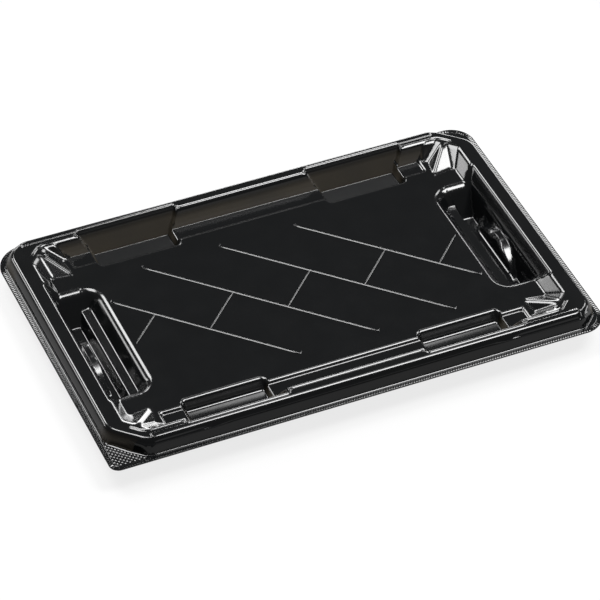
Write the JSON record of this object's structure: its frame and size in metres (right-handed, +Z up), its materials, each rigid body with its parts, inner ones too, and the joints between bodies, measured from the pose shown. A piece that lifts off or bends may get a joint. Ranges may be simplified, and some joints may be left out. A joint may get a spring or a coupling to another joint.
{
  "type": "food tray",
  "caption": "Shallow black formed-plastic food tray with a raised floor, end pods, side bays, a flat rim and a knurled flange.",
  "frame": {"origin": "middle of the tray's outline, on the surface that the feet stand on", "axes": "+X along the tray's length, +Y across its width, +Z up out of the open side"},
  "size_m": [0.2096, 0.1358, 0.0175],
  "materials": {
    "black_plastic": "gloss"
  },
  "bodies": {
    "root": {"tray": "black_plastic"}
  },
  "joints": []
}
